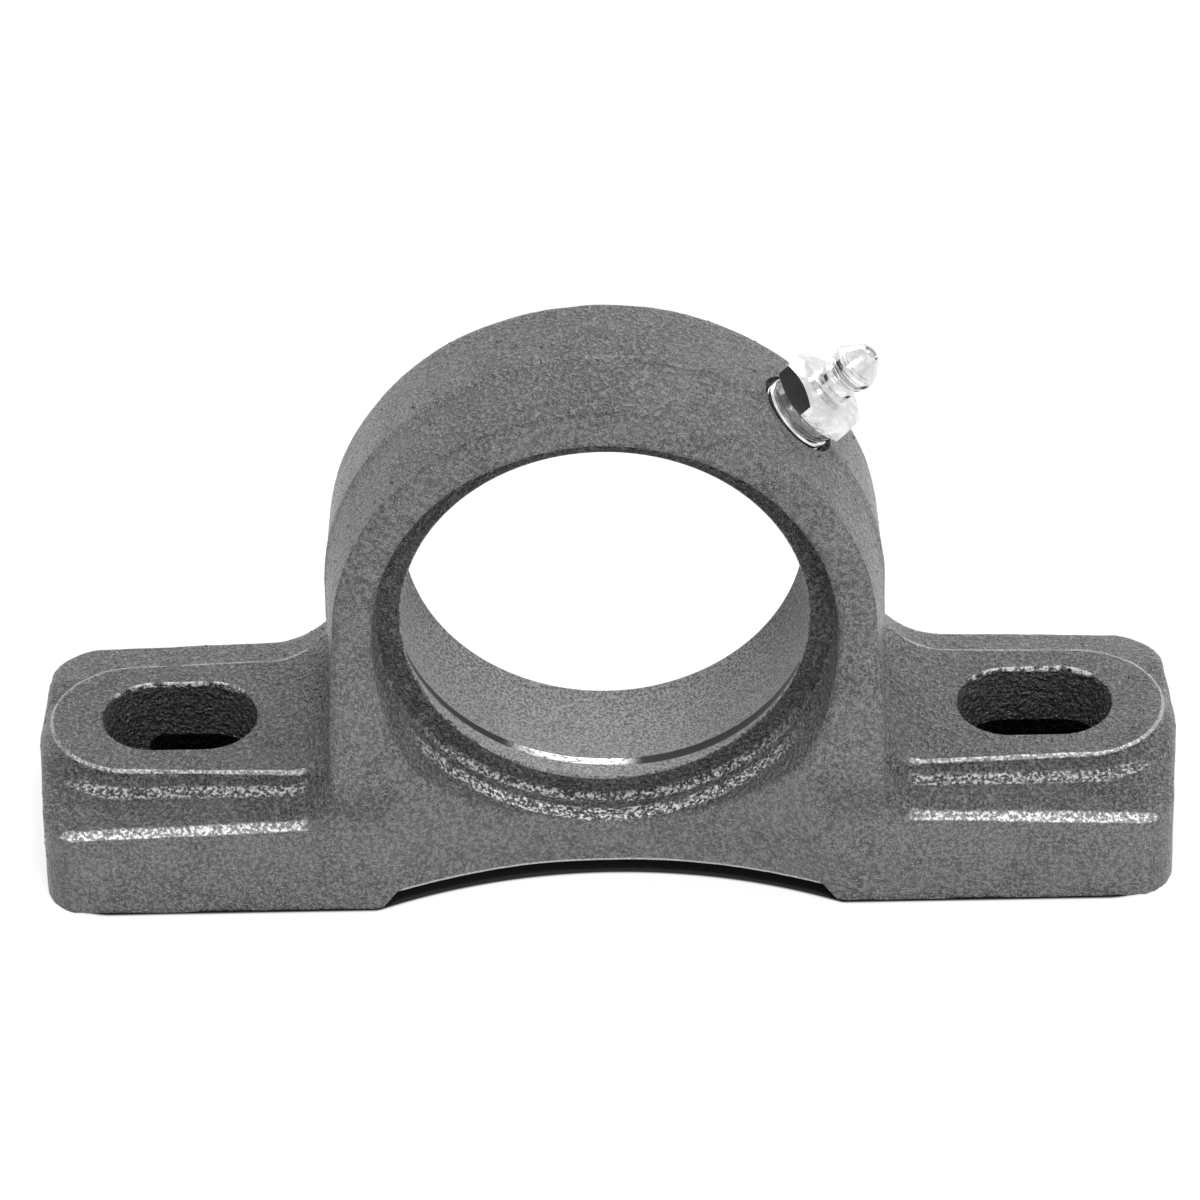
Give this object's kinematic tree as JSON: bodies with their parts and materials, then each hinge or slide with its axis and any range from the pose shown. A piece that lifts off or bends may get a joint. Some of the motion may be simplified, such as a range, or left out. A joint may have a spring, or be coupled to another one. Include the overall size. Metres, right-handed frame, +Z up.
{
  "type": "pillow block bearing housing",
  "caption": "Cast-iron pillow block housing with two slotted feet, an open spherical bearing seat and a radial grease fitting with a sprung check ball.",
  "frame": {"origin": "centre of the base's underside, below the middle of the bore", "axes": "+X along the base towards the side that carries the grease fitting, +Y along the shaft axis from front to back, +Z up"},
  "size_m": [0.14, 0.038, 0.0705],
  "materials": {
    "painted_cast_iron": "grainy cast surface under thin dark grey paint, satin",
    "zinc_plated_steel": "bright zinc plate, glossy",
    "ball_steel": "polished",
    "spring_steel": "drawn wire"
  },
  "bodies": {
    "block": {"housing": "painted_cast_iron", "grease_fitting_body": "zinc_plated_steel", "check_spring": "spring_steel"},
    "valve": {"check_ball": "ball_steel"}
  },
  "joints": [
    {"name": "check_ball_lift", "type": "slide", "parent": "block", "child": "valve", "axis": [-0.7071, 0, -0.7071], "range_m": [0, 0.0008], "stiffness_N_per_m": 300, "springref_m": -0.003, "deforming": ["check_spring"]}
  ]
}
